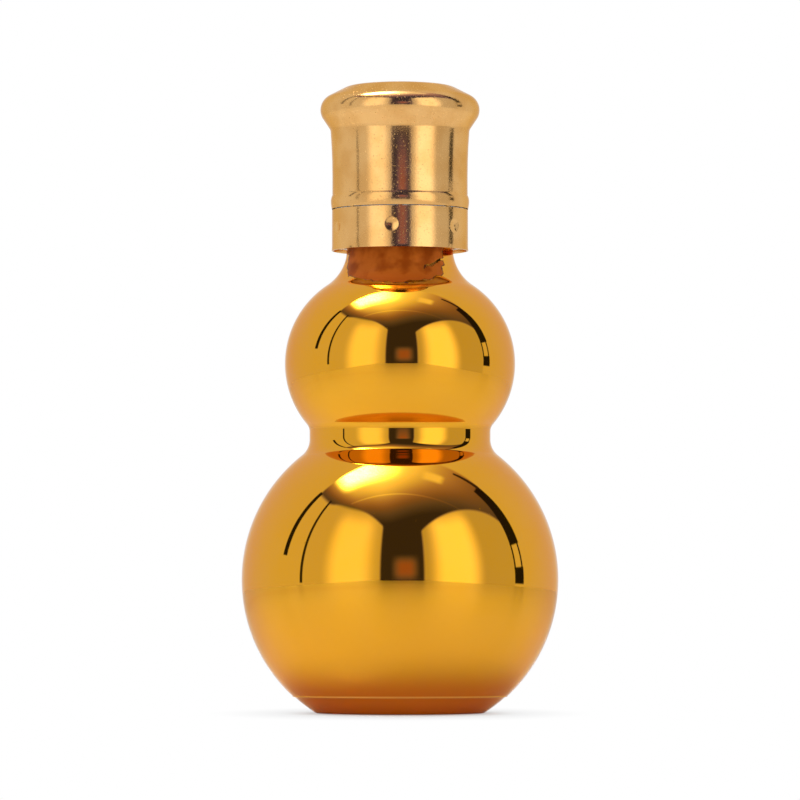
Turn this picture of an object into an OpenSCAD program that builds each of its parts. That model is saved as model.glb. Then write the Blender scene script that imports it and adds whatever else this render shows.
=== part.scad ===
// Double gourd liquor bottle in plated glass, closed by a drawn metal screw cap.
// Lengths are in millimetres. The bottle stands on z = 0 and its axis is the z axis.
// Radial sizes grow outwards from the glass neck, and heights stack up from the table.

/* [Lower bulb] */
// Radius of the lower bulb, which is a ball cut flat at the foot
lower_bulb_r = 31.65; // [29:0.05:34]
// Height that the flat foot cuts off the ball
foot_cut = 4.95; // [4:0.05:6]
// Glass thickness of the walls
wall = 2.4; // [1.8:0.1:3]
// Glass thickness of the base
base_glass = 3.4; // [2.5:0.1:4.5]
// Rise of the dished underside
push_up = 1.6; // [1:0.1:2.2]
// Inner radius of the ring that the bottle stands on
stand_ring_r = 12.5; // [11:0.1:13.5]
// Outside rounding at the foot
heel_r = 1.5; // [1:0.1:2]
// Inside rounding between floor and wall
floor_r = 5; // [4:0.1:6]
// Height of the mould seam above the table
seam_h = 3.5; // [2.8:0.1:4.2]
// Step of the glass at the mould seam
seam_step = 0.15; // [0.05:0.01:0.25]

/* [Waist] */
// Radius of the plain land between the bulbs
waist_r = 18.1; // [16:0.1:20]
// Height of the land
waist_h = 1.6; // [1.2:0.1:3]
// Hollow rounding between the lower bulb and the land
waist_low_r = 4; // [3:0.1:5]
// Hollow rounding between the land and the upper bulb
waist_high_r = 2.3; // [1.8:0.1:3.5]

/* [Upper bulb] */
// Radius of the upper bulb's side arc
upper_arc_r = 18.85; // [17:0.05:20]
// Distance of that arc's centre from the axis
upper_arc_x = 4.2; // [3.5:0.1:5.5]
// Hollow rounding between the upper bulb and the neck
shoulder_r = 9; // [8:0.1:10]

/* [Neck finish] */
// Outside radius of the glass neck
neck_r = 10.6; // [9.8:0.1:11.4]
// How far the closure reaches down over the shoulder's hollow rounding
shoulder_cover = 0.57; // [0.4:0.01:0.8]
// How far the snap bead stands out from the neck
bead_out = 0.9; // [0.7:0.05:1.1]
// Height of the bead's middle above the closure's lower edge
bead_rise = 6.15; // [5.8:0.05:6.6]
// Height of the glass lip above the bead's middle
lip_rise = 4.6; // [4.2:0.1:5.2]
// How much narrower the lip is than the neck
lip_inset = 0.4; // [0.3:0.05:0.5]
// Rounding of the lip's edges
lip_edge_r = 0.6; // [0.4:0.05:0.7]

/* [Metal closure] */
// Thickness of the aluminium sheet
sheet = 0.35; // [0.3:0.01:0.4]
// Height of the band that stays on the bottle
band_h = 8.15; // [8:0.05:8.4]
// Slit between the band and the cap
break_gap = 0.2; // [0.15:0.01:0.25]
// Height of the bridges that stand in the slit
bridge_h = 0.14; // [0.08:0.01:0.14]
// Width of one bridge
bridge_w = 0.8; // [0.5:0.1:1.2]
// Number of bridges
bridge_count = 8; // [6:1:12]
// How far the band's lower edge flares out
hem_out = 0.08; // [0.05:0.01:0.15]
// Height of that flare
hem_h = 0.9; // [0.5:0.1:1.2]
// Radius across one crimped dimple
dimple_r = 1.3; // [1.1:0.1:1.6]
// Depth of a dimple
dimple_depth = 0.3; // [0.2:0.05:0.4]
// Height of the dimples above the band's lower edge
dimple_rise = 4.4; // [4:0.1:4.8]
// Number of dimples round the band
dimple_count = 6; // [4:1:8]
// Direction of the first dimple, in degrees
dimple_angle = 263; // [0:1:359]
// How far the cap's lower bead stands out from its skirt
shell_bead_out = 0.3; // [0.24:0.01:0.36]
// Rounding of that bead above its crest
shell_bead_r = 2.5; // [2.2:0.1:3]
// Height of the bead's crest above the cap's lower edge
shell_bead_rise = 1.6; // [1.4:0.1:1.8]
// How far the bead draws in again down to that edge
shell_hem_in = 0.2; // [0.1:0.01:0.25]
// Hollow rounding above the bead
groove_r = 0.5; // [0.4:0.05:0.8]
// How far the skirt widens towards the crown
skirt_spread = 0.35; // [0.3:0.01:0.45]
// Height over which it widens
skirt_spread_h = 9; // [8:0.1:10]
// Hollow rounding between the skirt and the crown's slope
flare_r = 1.6; // [1.2:0.1:2]
// Height of that rounding's start below the middle of the crown's rim
flare_drop = 4.4; // [4.2:0.05:4.6]
// How far the crown's rim stands out from the skirt
crown_out = 2.4; // [2.3:0.05:2.5]
// Rounding of the rim
crown_rim_r = 3.2; // [3.1:0.05:3.3]
// Slope of the crown above its rim, in degrees
crown_slope = 27; // [25:0.5:29]
// Rounding between that slope and the shallow top
crown_edge_r = 5; // [4:0.5:6]
// Radius of the shallow top, a piece of a large ball
dome_r = 76; // [65:1:90]
// Height of the crown's top above the middle of the rim
crown_h = 5.45; // [5.35:0.05:5.6]

/* [Plastic closure] */
// Clearance between pieces that are pressed together
fit = 0.05; // [0.03:0.01:0.08]
// Clearance of the pourer over the glass
glass_fit = 0.12; // [0.1:0.01:0.2]
// Wall of the pourer's skirt
skirt_wall = 1.6; // [1.4:0.01:1.7]
// Height of the band's edge below the pourer's skirt
skirt_inset = 0.6; // [0.4:0.1:0.9]
// Height of the snap ring under the glass bead
snap_h = 1.2; // [0.9:0.1:1.5]
// Height of the sloped lead into the snap ring
snap_lead_h = 1; // [0.7:0.1:1.3]
// Wall of the pourer round the glass lip
shoulder_wall = 1.1; // [1:0.05:1.2]
// Height of the soft ring on the glass lip
seal_h = 0.8; // [0.6:0.1:1]
// Height of the pourer's inner flange
flange_h = 1.2; // [1:0.1:1.5]
// Radius of the hole in the flange
flange_hole_r = 7; // [6.5:0.1:7.3]
// Wall of the pourer's threaded tube
tube_wall = 2; // [1.8:0.1:2.2]
// Depth of the thread
thread_h = 0.9; // [0.7:0.05:1]
// Rise of one full turn of the thread
thread_lead = 5; // [4.6:0.1:5.6]
// Number of turns of each thread start
thread_turns = 1.25; // [1:0.05:1.4]
// Height of the thread's start above the flange
thread_rise = 3.6; // [3.3:0.1:4.5]
// Width of the thread at its root
thread_root_w = 1.4; // [1.2:0.05:1.5]
// Width of the thread at its crest
thread_crest_w = 0.7; // [0.5:0.05:0.8]
// Radial clearance between the two threads
thread_fit = 0.3; // [0.2:0.01:0.35]
// Wall of the inner cap
inner_wall = 1.45; // [1.3:0.05:1.6]
// Gap between the pourer's shoulder and the inner cap's lower edge
inner_gap = 0.35; // [0.3:0.05:0.6]
// Thickness of the sealing disc
liner_h = 1.5; // [1:0.1:2]
// Gap between the sealing disc and what it touches
liner_gap = 0.04; // [0.02:0.01:0.08]
// Thickness of the inner cap's top
plate_h = 1.2; // [1:0.1:1.6]
// Height of the inner cap's top above the middle of the crown's rim
plate_rise = 1.1; // [0.9:0.05:1.4]
// Radius of the ring that backs the crown
backing_r = 7.2; // [6.5:0.1:8]
// Wall of that ring
backing_wall = 1.2; // [1:0.1:1.6]

/* [Refill stop] */
// Radius of the valve seat's hole
seat_hole_r = 3.4; // [3.1:0.1:3.6]
// Thickness of the seat's plate
seat_h = 1.2; // [1:0.1:1.5]
// Height of the raised lip that the disc closes
seat_lip_h = 0.8; // [0.6:0.1:1]
// Wall of that lip
seat_lip_wall = 1; // [0.8:0.1:1.2]
// Radius of the valve disc
disc_r = 5.2; // [4.9:0.1:5.4]
// Thickness of the valve disc
disc_h = 1; // [0.8:0.1:1.2]
// Radius of the stem under the disc
stem_r = 2.8; // [2.4:0.1:2.9]
// Length of that stem
stem_h = 1.3; // [1:0.1:1.6]
// Depth of the dish that the ball rests in
dish_depth = 0.5; // [0.3:0.1:0.6]
// Radius of the glass ball
ball_r = 3.5; // [3.2:0.1:3.7]
// Distance that the valve disc lifts
disc_travel = 1.5; // [1.2:0.1:2]
// Distance that the ball moves on beyond the disc
ball_travel = 0.7; // [0.5:0.1:1]
// Gap round the loose pieces at the ends of their travel
loose_gap = 0.05; // [0.03:0.01:0.1]
// Wall of the ball cage's ring
cage_wall = 1; // [0.8:0.1:1.2]
// Thickness of one vane of the cage
vane_w = 1.2; // [1:0.1:1.5]
// Number of vanes
vane_count = 4; // [3:1:6]
// Running gap between the vanes and the ball or disc
vane_gap = 0.35; // [0.25:0.05:0.5]
// Radius of the cage's middle, which stops the ball
hub_r = 4.2; // [3.6:0.1:4.6]
// Thickness of the cage's middle
hub_h = 1.2; // [1:0.1:1.5]
// Height of the cage's ring above its middle
cage_rim_h = 0.6; // [0.4:0.1:0.9]
// Depth of the cage below the pourer's rim
cage_inset = 0.2; // [0.1:0.1:0.4]

/* [Hidden] */
$fn = 96;
// How far the straight pieces of an arc may lie from the true arc
arc_sag = 0.012;
// Angle of one straight piece of the thread, in degrees
thread_step = 10;
// Angle over which each end of the thread fades out, in degrees
thread_fade = 30;
// Number of thread starts
thread_starts = 2;
// How far cuts run past the faces that they open
overrun = 1;

// Glass body, from the foot up
lower_c = [0, lower_bulb_r - foot_cut];
foot_r = lower_bulb_r - seam_step;
heel_c = [sqrt(pow(foot_r - heel_r, 2) - pow(lower_c[1] - heel_r, 2)), heel_r];
heel_angle = atan2(heel_c[1] - lower_c[1], heel_c[0]);
seam_angle = asin((seam_h - lower_c[1]) / lower_bulb_r);
floor_z = push_up + base_glass;
floor_c = [sqrt(pow(lower_bulb_r - wall - floor_r, 2) - pow(lower_c[1] - floor_z - floor_r, 2)),
    floor_z + floor_r];
floor_angle = atan2(floor_c[1] - lower_c[1], floor_c[0]);
push_r = sagged_r(stand_ring_r, push_up);
waist_low_c = beside_line(lower_c, lower_bulb_r, waist_r, waist_low_r, 1);
waist_high_c = [waist_r + waist_high_r, waist_low_c[1] + waist_h];
upper_c = [upper_arc_x, waist_high_c[1]
    + sqrt(pow(upper_arc_r + waist_high_r, 2) - pow(waist_high_c[0] - upper_arc_x, 2))];
shoulder_c = beside_line(upper_c, upper_arc_r, neck_r, shoulder_r, 1);
bore_r = neck_r - wall;

// Heights of the neck finish and the closure
band_z = shoulder_c[1] - shoulder_cover;
band_top_z = band_z + band_h;
bead_z = band_z + bead_rise;
lip_z = bead_z + lip_rise;
break_z = band_top_z + break_gap;
flange_z = lip_z + seal_h;
seat_z = flange_z + flange_h;
cage_z = seat_z + seat_h;
disc_z = cage_z + seat_lip_h + loose_gap;
disc_top_z = disc_z + disc_h;
ball_z = disc_top_z - dish_depth + loose_gap + ball_r;
hub_z = ball_z + ball_r + disc_travel + ball_travel + loose_gap;
cage_top_z = hub_z + hub_h + cage_rim_h;
rim_z = cage_top_z + cage_inset;
liner_z = rim_z + liner_gap;
plate_z = liner_z + liner_h + liner_gap;
plate_top_z = plate_z + plate_h;
thread_z = seat_z + thread_rise;

// Radii of the neck finish and the closure
lip_r = neck_r - lip_inset;
bead_r = neck_r + bead_out;
skirt_bore_r = bead_r + glass_fit;
skirt_r = skirt_bore_r + skirt_wall;
band_r = skirt_r + fit + sheet;
lip_bore_r = lip_r + glass_fit;
pourer_shoulder_r = lip_bore_r + shoulder_wall;
tube_r = pourer_shoulder_r - thread_h;
tube_bore_r = tube_r - tube_wall;
inner_bore_r = pourer_shoulder_r + thread_fit;
inner_r = inner_bore_r + inner_wall;
shell_r = inner_r + fit + sheet;
cage_r = tube_bore_r - fit;
cage_bore_r = cage_r - cage_wall;
dimple_ball_r = sagged_r(dimple_r, dimple_depth);
dimple_x = band_r - dimple_depth + dimple_ball_r;

// Arcs of the cap's metal shell, from its lower edge up
hem_r = sagged_r(shell_bead_rise, shell_hem_in);
hem_c = [shell_r + shell_bead_out - hem_r, break_z + shell_bead_rise];
shell_bead_c = [shell_r + shell_bead_out - shell_bead_r, hem_c[1]];
groove_c = beside_line(shell_bead_c, shell_bead_r, shell_r, groove_r, 1);
crown_c = [shell_r + crown_out - crown_rim_r, plate_top_z - plate_rise];
spread_r = sagged_r(skirt_spread_h, skirt_spread);
spread_c = [shell_r + spread_r, crown_c[1] - flare_drop - skirt_spread_h];
spread_angle = asin(skirt_spread_h / spread_r);
flare_c = spread_c + (spread_r - flare_r) * [-cos(spread_angle), sin(spread_angle)];
slope_angle = -heading(crown_c, flare_c) - acos((crown_rim_r + flare_r) / norm(flare_c - crown_c));
dome_c = [0, crown_c[1] + crown_h - dome_r];
crown_turn = 90 - crown_slope;
crown_up = [-sin(crown_turn), cos(crown_turn)];
crown_start = crown_c + (crown_rim_r - crown_edge_r) * [cos(crown_turn), sin(crown_turn)];
crown_reach = (dome_c - crown_start) * crown_up;
edge_c = crown_start + crown_up * (crown_reach
    + sqrt(pow(crown_reach, 2) - pow(norm(dome_c - crown_start), 2) + pow(dome_r - crown_edge_r, 2)));

// Radius of an arc that bends aside by s over a length h
function sagged_r(h, s) = (h * h + s * s) / (2 * s);

// Centre of an arc of radius r that blends the upright line at x into the circle c, circle_r.
// It lies above the circle's centre where side is 1 and below it where side is -1.
function beside_line(c, circle_r, x, r, side) =
    [x + r, c[1] + side * sqrt(pow(circle_r + r, 2) - pow(x + r - c[0], 2))];

// Direction from point a to point b, in degrees
function heading(a, b) = atan2(b[1] - a[1], b[0] - a[0]);

// Points of an arc round c, from angle a to angle b
function arc(c, r, a, b) = let (n = max(2, ceil(abs(b - a) / (2 * acos(1 - arc_sag / r)))))
    [for (i = [0:n]) c + r * [cos(a + (b - a) * i / n), sin(a + (b - a) * i / n)]];

// A list without its first point, which the list before it already holds
function tail(v) = [for (i = [1:len(v) - 1]) v[i]];
function backwards(v) = [for (i = [len(v) - 1:-1:0]) v[i]];

// Side of the glass at depth t under its outer face, from angle a on the lower bulb to the neck
function glass_side(t, a) = concat(
    arc(lower_c, lower_bulb_r - t, a, heading(lower_c, waist_low_c)),
    tail(arc(waist_low_c, waist_low_r + t, heading(waist_low_c, lower_c) + 360, 180)),
    arc(waist_high_c, waist_high_r + t, 180, heading(waist_high_c, upper_c)),
    tail(arc(upper_c, upper_arc_r - t, heading(upper_c, waist_high_c), heading(upper_c, shoulder_c))),
    tail(arc(shoulder_c, shoulder_r + t, heading(shoulder_c, upper_c) + 360, 180)));

// Side of the cap's sheet at depth t under its outer face, from the slit to the top
function shell_side(t) = concat(
    arc(hem_c, hem_r - t, -asin(shell_bead_rise / hem_r), 0),
    tail(arc(shell_bead_c, shell_bead_r - t, 0, heading(shell_bead_c, groove_c))),
    tail(arc(groove_c, groove_r + t, heading(groove_c, shell_bead_c) + 360, 180)),
    arc(spread_c, spread_r + t, 180, 180 - spread_angle),
    tail(arc(flare_c, flare_r + t, 180 - spread_angle, 180 - slope_angle)),
    arc(crown_c, crown_rim_r - t, -slope_angle, crown_turn),
    arc(edge_c, crown_edge_r - t, crown_turn, heading(dome_c, edge_c)),
    tail(arc(dome_c, dome_r - t, heading(dome_c, edge_c), 90)));

// One thread start, swept from points that step round the axis and climb.
// Its root lies under the wall at wall_r, and its crest stands out by thread_h, inwards where out is -1.
module thread_start(wall_r, out) {
    steps = round(thread_turns * 360 / thread_step);
    sunk_r = wall_r - out * thread_h / 2;
    points = [for (i = [0:steps])
        let (a = i * thread_step)
        let (fade = min(1, (a + thread_step) / thread_fade, ((steps - i + 1) * thread_step) / thread_fade))
        let (z = thread_z + thread_lead * a / 360)
        let (crest_r = wall_r + out * thread_h * fade)
        for (p = [[sunk_r, -thread_root_w / 2], [sunk_r, thread_root_w / 2],
                  [crest_r, thread_crest_w / 2], [crest_r, -thread_crest_w / 2]])
            [p[0] * cos(a), p[0] * sin(a), z + p[1]]];
    sides = [for (i = [0:steps - 1], k = [0:3])
        let (j = (k + 1) % 4, near = i * 4, far = near + 4)
        each [[near + k, near + j, far + j], [near + k, far + j, far + k]]];
    first = [[0, 3, 2], [0, 2, 1]];
    last = [for (f = [[0, 1, 2], [0, 2, 3]]) [for (k = f) steps * 4 + k]];
    faces = concat(sides, first, last);
    polyhedron(points = points, faces = out > 0 ? [for (f = faces) backwards(f)] : faces);
}

module thread(wall_r, out, turn) {
    for (s = [0:thread_starts - 1])
        rotate([0, 0, turn + 360 / thread_starts * s])
            thread_start(wall_r, out);
}

// Balls of radius r where the dimples are pressed
module dimple_balls(r) {
    for (i = [0:dimple_count - 1])
        rotate([0, 0, dimple_angle + 360 / dimple_count * i])
            translate([dimple_x, 0, band_z + dimple_rise])
                sphere(r = r);
}

module ring(outer_r, inner_r, z, h) {
    translate([0, 0, z])
        difference() {
            cylinder(r = outer_r, h = h);
            translate([0, 0, -overrun])
                cylinder(r = inner_r, h = h + 2 * overrun);
        }
}

// Blown glass, plated outside: foot, two bulbs, waist land, neck, snap bead and lip
module bottle() {
    bead_c = [neck_r - bead_out / 3, bead_z];
    bead_arc_r = bead_r - bead_c[0];
    outside = concat(
        arc([0, push_up - push_r], push_r, 90, atan2(push_r - push_up, stand_ring_r)),
        arc(heel_c, heel_r, -90, heel_angle),
        tail(arc(lower_c, foot_r, heel_angle, seam_angle)),
        glass_side(0, seam_angle),
        arc(bead_c, bead_arc_r, -acos((neck_r - bead_c[0]) / bead_arc_r),
            acos((lip_r - bead_c[0]) / bead_arc_r)),
        arc([lip_r - lip_edge_r, lip_z - lip_edge_r], lip_edge_r, 0, 90));
    inside = concat(
        [[0, floor_z]],
        arc(floor_c, floor_r, -90, floor_angle),
        tail(glass_side(wall, floor_angle)),
        arc([bore_r + lip_edge_r, lip_z - lip_edge_r], lip_edge_r, 180, 90));
    color("goldenrod")
        rotate_extrude()
            polygon(concat(outside, backwards(inside)));
}

// Lower part of the metal closure, crimped to the pourer by its dimples
module tamper_band() {
    outside = [[band_r + hem_out, band_z], [band_r, band_z + hem_h], [band_r, band_top_z]];
    inside = [for (p = backwards(outside)) [p[0] - sheet, p[1]]];
    color("burlywood")
        difference() {
            union() {
                rotate_extrude()
                    polygon(concat(outside, inside));
                intersection() {
                    dimple_balls(dimple_ball_r + sheet);
                    translate([0, 0, band_z + dimple_rise - 2 * dimple_r])
                        cylinder(r = band_r - sheet / 2, h = 4 * dimple_r);
                }
            }
            dimple_balls(dimple_ball_r);
        }
}

// Upper part of the metal closure: bead, skirt, flared crown and low dome
module cap_shell() {
    edge_r = shell_r + shell_bead_out - shell_hem_in;
    bridge_z = break_z - bridge_h;
    color("burlywood") {
        rotate_extrude()
            polygon(concat(shell_side(0), backwards(shell_side(sheet))));
        intersection() {
            ring(edge_r, edge_r - sheet / 2, bridge_z, 2 * bridge_h);
            for (i = [0:bridge_count - 1])
                rotate([0, 0, 360 / bridge_count * i])
                    translate([edge_r, 0, bridge_z + bridge_h])
                        cube([2 * sheet, bridge_w, 2 * bridge_h], center = true);
        }
    }
}

// Plastic cap inside the metal shell, with the inner thread and the ring that backs the crown
module inner_cap() {
    low_z = band_top_z + break_gap + inner_gap;
    backing_top_z = dome_c[1] + sqrt(pow(dome_r - sheet, 2) - pow(backing_r, 2)) - fit;
    color("whitesmoke") {
        difference() {
            translate([0, 0, low_z])
                cylinder(r = inner_r, h = plate_top_z - low_z);
            translate([0, 0, low_z - overrun])
                cylinder(r = inner_bore_r, h = plate_z - low_z + overrun);
        }
        thread(inner_bore_r, -1, 180 / thread_starts);
        ring(backing_r, backing_r - backing_wall, plate_top_z - plate_h / 2,
            backing_top_z - plate_top_z + plate_h / 2);
    }
}

// Soft disc that the inner cap presses on the pourer's rim
module cap_liner() {
    color("ghostwhite")
        translate([0, 0, liner_z])
            cylinder(r = tube_r + thread_fit / 2, h = liner_h);
}

// Plastic pourer: snap skirt over the glass bead, shoulder, flange and threaded tube
module pourer_body() {
    skirt_z = band_z + skirt_inset;
    skirt_top_z = break_z;
    snap_top_z = bead_z - sqrt(pow(bead_out * 4 / 3, 2) - pow(bead_out / 3, 2)) - glass_fit;
    snap_r = neck_r + glass_fit;
    recess_top_z = bead_z + bead_out * 4 / 3 + glass_fit;
    outside = [[skirt_bore_r, skirt_z], [skirt_r, skirt_z], [skirt_r, skirt_top_z],
        [pourer_shoulder_r, skirt_top_z], [pourer_shoulder_r, seat_z],
        [tube_r, seat_z + thread_h], [tube_r, rim_z]];
    inside = [[skirt_bore_r, snap_top_z - snap_h - snap_lead_h], [snap_r, snap_top_z - snap_h],
        [snap_r, snap_top_z], [skirt_bore_r, snap_top_z], [skirt_bore_r, recess_top_z],
        [lip_bore_r, recess_top_z], [lip_bore_r, flange_z],
        [flange_hole_r, flange_z], [flange_hole_r, seat_z], [tube_bore_r, seat_z], [tube_bore_r, rim_z]];
    color("white") {
        difference() {
            rotate_extrude()
                polygon(concat(outside, backwards(inside)));
            dimple_balls(dimple_ball_r + sheet + fit);
        }
        thread(tube_r, 1, 0);
    }
}

// Soft ring between the glass lip and the pourer's flange
module neck_seal() {
    color("gainsboro")
        ring(lip_r - lip_edge_r / 2, bore_r + lip_edge_r / 2, lip_z, seal_h);
}

// Plate with the raised lip that the valve disc closes
module valve_seat() {
    lip_outer_r = seat_hole_r + seat_lip_wall;
    profile = [[seat_hole_r, seat_z], [cage_r, seat_z], [cage_r, cage_z], [lip_outer_r, cage_z],
        [lip_outer_r, cage_z + seat_lip_h], [seat_hole_r, cage_z + seat_lip_h]];
    color("white")
        rotate_extrude()
            polygon(profile);
}

// Loose disc with a guide stem below and a dish for the ball above
module valve_disc() {
    profile = [[0, disc_z - stem_h], [stem_r, disc_z - stem_h], [stem_r, disc_z],
        [disc_r, disc_z], [disc_r, disc_top_z], [0, disc_top_z]];
    color("lightsteelblue")
        difference() {
            rotate_extrude()
                polygon(profile);
            translate([0, 0, ball_z])
                sphere(r = ball_r + loose_gap);
        }
}

// Loose glass ball, whose weight keeps the disc on its seat
module glass_ball() {
    color("lightcyan")
        translate([0, 0, ball_z])
            sphere(r = ball_r);
}

// Insert that guides the ball between its vanes and lets the liquid out round its middle
module ball_cage() {
    guide_z = disc_top_z + disc_travel + vane_gap;
    sunk_r = cage_bore_r + cage_wall / 2;
    vane = [[disc_r + vane_gap, cage_z], [sunk_r, cage_z], [sunk_r, hub_z + hub_h],
        [hub_r - vane_gap, hub_z + hub_h], [hub_r - vane_gap, hub_z], [ball_r + vane_gap, hub_z],
        [ball_r + vane_gap, guide_z], [disc_r + vane_gap, guide_z]];
    color("white") {
        ring(cage_r, cage_bore_r, cage_z, cage_top_z - cage_z);
        translate([0, 0, hub_z])
            cylinder(r = hub_r, h = hub_h);
        for (i = [0:vane_count - 1])
            rotate([0, 0, 360 / vane_count * i])
                rotate([90, 0, 0])
                    linear_extrude(height = vane_w, center = true)
                        polygon(vane);
    }
}

bottle();
tamper_band();
cap_shell();
inner_cap();
cap_liner();
pourer_body();
neck_seal();
valve_seat();
valve_disc();
glass_ball();
ball_cage();
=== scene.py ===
# %% [markdown]
# # A double gourd bottle in mirror gold
#
# The bottle is one piece of blown glass, plated outside until it is a mirror, under a screw cap of
# drawn metal. A mirror has almost no colour pattern of its own, so two things make it look right: a
# surface smooth enough to carry clean reflections, and a plain studio worth reflecting. The packed
# model is loaded first. It holds the real sizes and the moving bodies, and every new piece is fitted
# to it.

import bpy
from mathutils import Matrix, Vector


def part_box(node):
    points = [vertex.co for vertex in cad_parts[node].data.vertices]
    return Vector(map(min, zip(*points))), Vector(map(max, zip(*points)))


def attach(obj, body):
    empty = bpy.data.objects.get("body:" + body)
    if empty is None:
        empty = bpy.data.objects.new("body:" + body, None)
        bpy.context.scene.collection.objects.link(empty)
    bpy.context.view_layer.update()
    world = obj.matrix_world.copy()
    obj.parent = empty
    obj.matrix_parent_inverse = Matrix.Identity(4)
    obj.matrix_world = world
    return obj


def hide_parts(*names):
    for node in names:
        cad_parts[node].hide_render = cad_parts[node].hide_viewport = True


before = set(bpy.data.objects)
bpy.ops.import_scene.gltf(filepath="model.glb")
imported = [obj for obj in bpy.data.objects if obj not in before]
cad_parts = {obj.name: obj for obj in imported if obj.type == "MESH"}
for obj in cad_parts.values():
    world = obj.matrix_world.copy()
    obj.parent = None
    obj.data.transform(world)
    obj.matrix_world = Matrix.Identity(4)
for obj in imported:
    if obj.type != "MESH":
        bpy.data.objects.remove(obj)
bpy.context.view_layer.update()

# %% Tools and units
import math

import bpy
from mathutils import Vector

mm = 0.001


# %% [markdown]
# ## Turning a shape, as on a lathe
#
# Glass moulds and drawn caps are turned shapes, so one outline spun round the axis makes each of them.
# The outline is drawn by extruding a single point along it, and the spin operator turns it. The
# doubles on the axis and along the seam are merged, and only then are the normals made to agree,
# because a spin can leave a shape inside out.

# %% Arcs and outlines
ARC_TURN = math.radians(1.5)
ARC_SAG = 0.0015 * mm
ARC_COUNT = 3
QUARTER = math.tau / 4
HALF = math.tau / 2


def polar(centre, radius, angle):
    """A point of a circle in the outline's plane, as (distance from the axis, height)."""
    return (centre[0] + radius * math.cos(angle), centre[1] + radius * math.sin(angle))


def arc(centre, radius, start, end):
    """Points from angle start to angle end, close enough together for a smooth mirror."""
    step = max(ARC_TURN, 2 * math.acos(1 - min(0.5, ARC_SAG / radius)))
    count = max(ARC_COUNT, math.ceil(abs(end - start) / step))
    return [polar(centre, radius, start + (end - start) * i / count) for i in range(count + 1)]


def heading(a, b):
    """Direction from point a to point b."""
    return math.atan2(b[1] - a[1], b[0] - a[0])


def sagged_r(length, sag):
    """Radius of an arc that bends aside by sag over a length."""
    return (length ** 2 + sag ** 2) / (2 * sag)


def beside_line(centre, circle_radius, line, radius, side):
    """Centre of an arc that blends an upright line into a circle, above it (1) or below it (-1)."""
    reach = circle_radius + radius
    across = line + radius - centre[0]
    return (line + radius, centre[1] + side * math.sqrt(reach ** 2 - across ** 2))


print("points in a quarter of a 30 mm circle:", len(arc((0, 0), 30 * mm, 0, QUARTER)))


# %% The lathe
MERGE_REACH = 0.002 * mm
SHARP_EDGE = math.radians(40)


def deselect():
    """Take everything out of the selection, which the load leaves full."""
    bpy.ops.object.select_all(action="DESELECT")


def pick(*pieces):
    """Select these objects, and work on the first of them."""
    deselect()
    for piece in pieces:
        piece.select_set(True)
    bpy.context.view_layer.objects.active = pieces[0]


def turned(name, outline, steps):
    """Spin an outline of (distance, height) points once round the z axis."""
    deselect()
    bpy.ops.mesh.primitive_plane_add(size=mm)
    piece = bpy.context.object
    piece.name = name
    bpy.ops.object.mode_set(mode="EDIT")
    bpy.ops.mesh.select_all(action="SELECT")
    bpy.ops.mesh.merge(type="CENTER")
    bpy.ops.transform.translate(value=(outline[0][0], 0, outline[0][1]))
    for (x0, z0), (x1, z1) in zip(outline, outline[1:]):
        bpy.ops.mesh.extrude_region_move(TRANSFORM_OT_translate={"value": (x1 - x0, 0, z1 - z0)})
    bpy.ops.mesh.select_all(action="SELECT")
    bpy.ops.mesh.spin(steps=steps, angle=math.tau, center=(0, 0, 0), axis=(0, 0, 1))
    bpy.ops.mesh.select_all(action="SELECT")
    bpy.ops.mesh.remove_doubles(threshold=MERGE_REACH)
    bpy.ops.mesh.normals_make_consistent(inside=False)
    bpy.ops.object.mode_set(mode="OBJECT")
    bpy.ops.object.shade_smooth()
    print(name, "has", len(piece.data.polygons), "faces")
    return piece


def sharpen(piece):
    """Shade smooth, but keep the edges that turn sharply."""
    pick(piece)
    bpy.ops.object.shade_smooth_by_angle(angle=SHARP_EDGE)


def place(piece, body, node):
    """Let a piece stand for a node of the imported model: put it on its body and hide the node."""
    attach(piece, body)
    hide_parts(node)


print("edges stay sharp from", round(math.degrees(SHARP_EDGE)), "degrees up")

# %% [markdown]
# ## The glass body
#
# The body is a ball cut flat at the foot, a plain land at the waist, a second and smaller bulb, and a
# shoulder that runs up into the neck. Each blend is an arc that touches its neighbours, so the
# reflection never breaks. The inner wall uses the same centres with the wall's thickness taken off,
# and the underside is dished, so that the bottle stands on a ring.

# %% Sizes of the glass
LOWER_R = 31.65 * mm
FOOT_CUT = 4.95 * mm
WALL = 2.4 * mm
BASE_GLASS = 3.4 * mm
PUSH_UP = 1.6 * mm
STAND_RING_R = 12.5 * mm
HEEL_R = 1.5 * mm
FLOOR_R = 5 * mm
SEAM_H = 3.5 * mm
SEAM_STEP = 0.15 * mm
SEAM_WIDTH = 3 * SEAM_STEP
SEAM_RIDGE = 0.15 * mm
SEAM_POINTS = 10
WAIST_R = 18.1 * mm
WAIST_H = 1.6 * mm
WAIST_LOW_R = 4 * mm
WAIST_HIGH_R = 2.3 * mm
UPPER_ARC_R = 18.85 * mm
UPPER_ARC_X = 4.2 * mm
SHOULDER_R = 9 * mm
NECK_R = 10.6 * mm
BEAD_OUT = 0.9 * mm
LIP_INSET = 0.4 * mm
LIP_EDGE_R = 0.6 * mm
LIP_RISE = 4.6 * mm

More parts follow.
